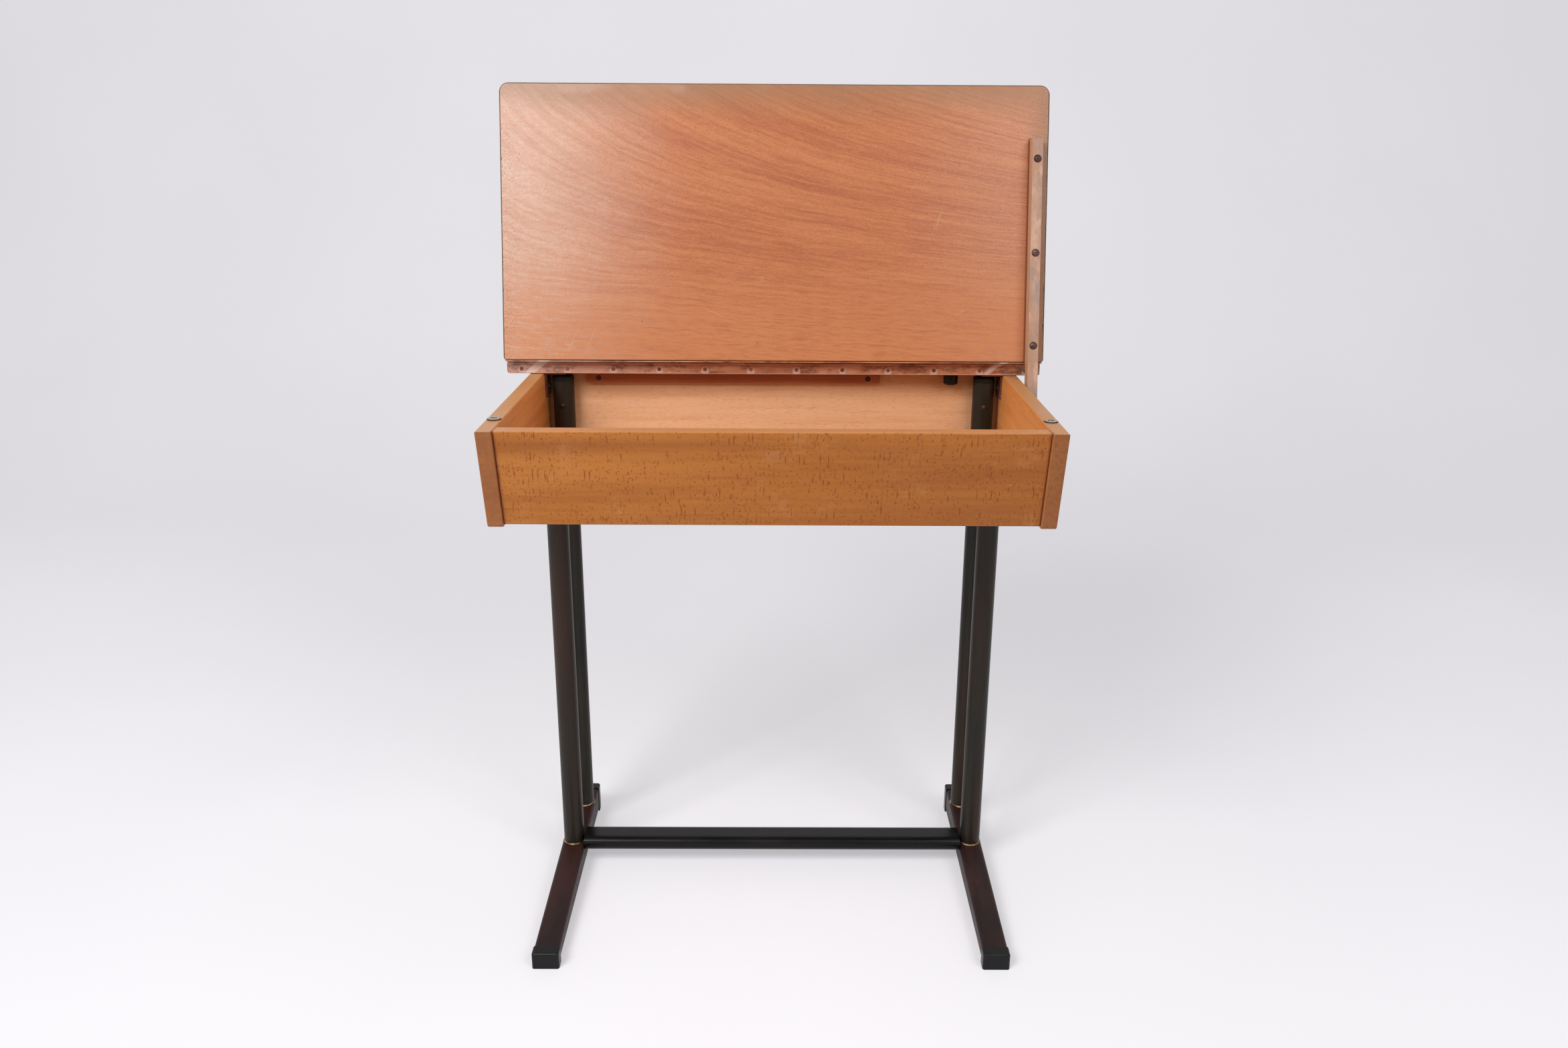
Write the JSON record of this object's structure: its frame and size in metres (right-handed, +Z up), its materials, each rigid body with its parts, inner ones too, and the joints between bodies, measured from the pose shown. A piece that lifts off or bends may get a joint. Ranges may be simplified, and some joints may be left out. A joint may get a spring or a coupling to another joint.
{
  "type": "school desk with lift lid",
  "caption": "School desk: wooden book box with a hinged lift lid and a fixed rear rail, on a steel tube frame with two long feet and a crossbar.",
  "frame": {"origin": "on the floor, under the middle of the whole desk with its lid open", "axes": "+X to the right of someone who sits at the desk, +Y away from them, +Z up"},
  "size_m": [0.7, 0.3924, 1.0466],
  "materials": {
    "lid_plywood": "varnished okoume plywood with a dark stained edge",
    "rail_plywood": "varnished okoume plywood with a dark stained edge",
    "box_beech": "varnished beech",
    "floor_plywood": "varnished plywood",
    "stop_beech": "pale worn beech",
    "hinge_steel": "copper-brown plated steel, tarnished",
    "bronzed_screws": "bronzed steel screws",
    "dark_screws": "dark rusty steel",
    "bright_steel": "worn plated steel",
    "bracket_steel": "dark painted steel",
    "tube_paint": "dark olive-brown enamel",
    "foot_paint": "dark red-brown enamel",
    "weld_brass": "brazed seam",
    "black_plastic": "black moulded plastic"
  },
  "bodies": {
    "desk": {"side_panel_left": "box_beech", "side_panel_right": "box_beech", "front_panel": "box_beech", "back_panel": "box_beech", "floor_panel": "floor_plywood", "rear_rail": "rail_plywood", "rail_batten": "box_beech", "batten_screws": "dark_screws", "pen_hole_plug": "black_plastic", "angle_bracket_left": "bracket_steel", "angle_bracket_right": "bracket_steel", "bracket_screws": "dark_screws", "rail_screws": "dark_screws", "lid_bumpers": "bright_steel", "bumper_screws": "dark_screws", "rail_hinge_leaf": "hinge_steel", "rail_hinge_screws": "hinge_steel", "hinge_pin": "hinge_steel", "stop_peg": "stop_beech", "foot_left": "foot_paint", "foot_right": "foot_paint", "foot_cap_front_left": "black_plastic", "foot_cap_front_right": "black_plastic", "foot_cap_rear_left": "black_plastic", "foot_cap_rear_right": "black_plastic", "front_tube_left": "tube_paint", "front_tube_right": "tube_paint", "rear_tube_left": "tube_paint", "rear_tube_right": "tube_paint", "weld_beads": "weld_brass", "crossbar": "tube_paint", "tube_cap_left": "black_plastic", "tube_cap_right": "black_plastic", "seat_plate_left": "tube_paint", "seat_plate_right": "tube_paint", "seat_plate_screws": "bright_steel", "frame_bolts": "bright_steel", "frame_washers": "bright_steel", "frame_nuts": "bright_steel"},
    "lid": {"lid_panel": "lid_plywood", "lid_hinge_leaf": "hinge_steel", "lid_hinge_screws": "hinge_steel", "lid_stop_bar": "stop_beech", "stop_bar_screws": "bronzed_screws"}
  },
  "joints": [
    {"name": "lid_hinge", "type": "hinge", "parent": "desk", "child": "lid", "pos_m": [0, 0.11885, 0.7], "axis": [1, 0, 0], "range_deg": [0, 102.15]}
  ]
}
